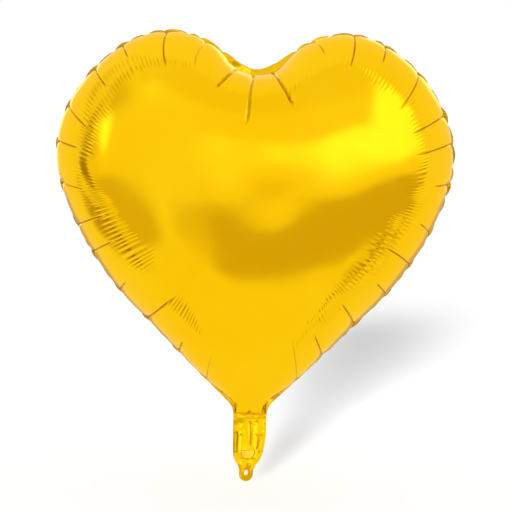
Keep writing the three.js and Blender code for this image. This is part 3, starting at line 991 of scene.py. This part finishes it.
def make_suns(floor):
    """The low lights. They light only the floor, on which the balloon casts its shadow."""
    collection = bpy.data.collections.new("lit_by_low_lights")
    collection.objects.link(floor)
    for name, towards, energy in LOW_LIGHTS:
        data = bpy.data.lights.new(name, "SUN")
        data.energy = energy
        data.angle = SUN_ANGLE
        lamp = bpy.data.objects.new(name, data)
        bpy.context.scene.collection.objects.link(lamp)
        lamp.rotation_euler = Vector(towards).to_track_quat("Z", "Y").to_euler()
        lamp.visible_glossy = False
        lamp.light_linking.receiver_collection = collection


# What stands round the balloon: azimuth and elevation in degrees (azimuth 0 is -y, 90 is +x), half of the
# width and of the height, turn, squareness (2 is round), softness of the edge, and colour
SURROUNDINGS = [
    ((15, 62), (80, 15), 0, 3, 0.8, (0.94, 0.91, 0.91)),
    ((37, -10), (51, 11), -1, 5, 0.30, (0.68, 0.60, 0.60)),
    ((-62, -16), (34, 13), 12, 3, 0.45, (0.74, 0.67, 0.67)),
    ((-76, 40), (28, 12), -10, 2, 1.0, (0.72, 0.67, 0.67)),
    ((-74, 15), (15, 12), 0, 2, 0.9, (0.78, 0.74, 0.74)),
    ((-80, -4), (14, 11), 8, 3, 0.5, (0.40, 0.31, 0.31)),
    ((-72, -17), (9, 6), -22, 2, 0.7, (0.36, 0.27, 0.27)),
    ((-90, -21), (12, 8), 0, 2, 1.2, (0.52, 0.44, 0.44)),
    ((38, 17), (34, 7), 4, 3, 1.2, (1.65, 1.65, 3.5)),
    ((51, 32), (13, 18), -28, 3, 1.0, (1.7, 1.65, 3.5)),
    ((-55, 18), (5, 9), 4, 2, 1.3, (1.8, 1.75, 3.5)),
    ((-25, 45), (8, 8), 0, 2, 1.4, (1.1, 1.1, 1.1)),
    ((52, -33), (9, 5), -42, 2, 0.7, (0.42, 0.32, 0.32)),
    ((84, -42), (9, 3), -28, 2, 0.8, (0.5, 0.42, 0.42)),
    ((76, -12), (12, 7), 0, 5, 0.3, (0.58, 0.50, 0.50)),
    ((180, -12), (40, 12), 3, 4, 0.4, (0.62, 0.55, 0.55)),
    ((156, 27), (18, 9), 12, 3, 0.7, (1.6, 1.6, 1.6)),
    ((-150, 12), (9, 14), 0, 3, 0.7, (1.6, 1.6, 1.6)),
]
ROOM = (0.99, 0.985, 0.98, 1)
ROOM_LIGHT = (0.62, 0.62, 0.62, 1)  # what lights rough surfaces
BACKDROP = (1, 1, 1, 1)  # what the camera sees


def make_world():
    """A white studio. Rough surfaces and the camera see it plain. The foil reflects what stands in it."""
    world = bpy.data.worlds.new("studio")
    bpy.context.scene.world = world
    world.use_nodes = True
    n = Nodes(world.node_tree)
    way = n.add("ShaderNodeSeparateXYZ")
    n.link(n.add("ShaderNodeTexCoord").outputs["Generated"], way.inputs[0])
    azimuth = n.math("ARCTAN2", way.outputs["X"], n.math("MULTIPLY", way.outputs["Y"], -1))
    azimuth = n.math("DEGREES", azimuth)
    elevation = n.math("DEGREES", n.math("ARCSINE", way.outputs["Z"]))
    colour = ROOM
    for (az, el), (width, height), turn, power, soft, tone in SURROUNDINGS:
        a = n.math("WRAP", n.math("SUBTRACT", azimuth, az), -180, 180)
        e = n.math("SUBTRACT", elevation, el)
        c, s = math.cos(math.radians(turn)), math.sin(math.radians(turn))
        across = n.math("ADD", n.math("MULTIPLY", a, c / width), n.math("MULTIPLY", e, s / width))
        upwards = n.math("ADD", n.math("MULTIPLY", a, -s / height), n.math("MULTIPLY", e, c / height))
        u = n.math("POWER", n.math("ABSOLUTE", across), power)
        v = n.math("POWER", n.math("ABSOLUTE", upwards), power)
        reach = n.math("POWER", n.math("ADD", u, v), 1 / power)
        share = n.ramp(reach, 1 + soft / 2, 1 - soft / 2)
        colour = n.blend(share, colour, (*tone, 1))
    path = n.add("ShaderNodeLightPath")
    seen = n.blend(path.outputs["Is Diffuse Ray"], colour, ROOM_LIGHT)
    seen = n.blend(path.outputs["Is Camera Ray"], seen, BACKDROP)
    background = n.add("ShaderNodeBackground")
    n.link(seen, background.inputs["Color"])
    out = n.add("ShaderNodeOutputWorld")
    n.link(background.outputs[0], out.inputs["Surface"])


def make_camera():
    data = bpy.data.cameras.new("camera")
    data.lens = 90
    data.sensor_width = 36
    camera = bpy.data.objects.new("camera", data)
    bpy.context.scene.collection.objects.link(camera)
    right = Vector((math.cos(CAMERA_LEAN), 0, math.sin(CAMERA_LEAN)))
    up = Vector((-math.sin(CAMERA_LEAN), 0, math.cos(CAMERA_LEAN)))
    back = Vector((0, -1, 0))
    turn = Matrix((right, up, back)).transposed().to_4x4()
    camera.matrix_world = Matrix.Translation(CAMERA_PLACE) @ turn
    bpy.context.scene.camera = camera


make_suns(make_floor())
make_world()
make_camera()
bpy.context.scene.view_settings.view_transform = "Standard"
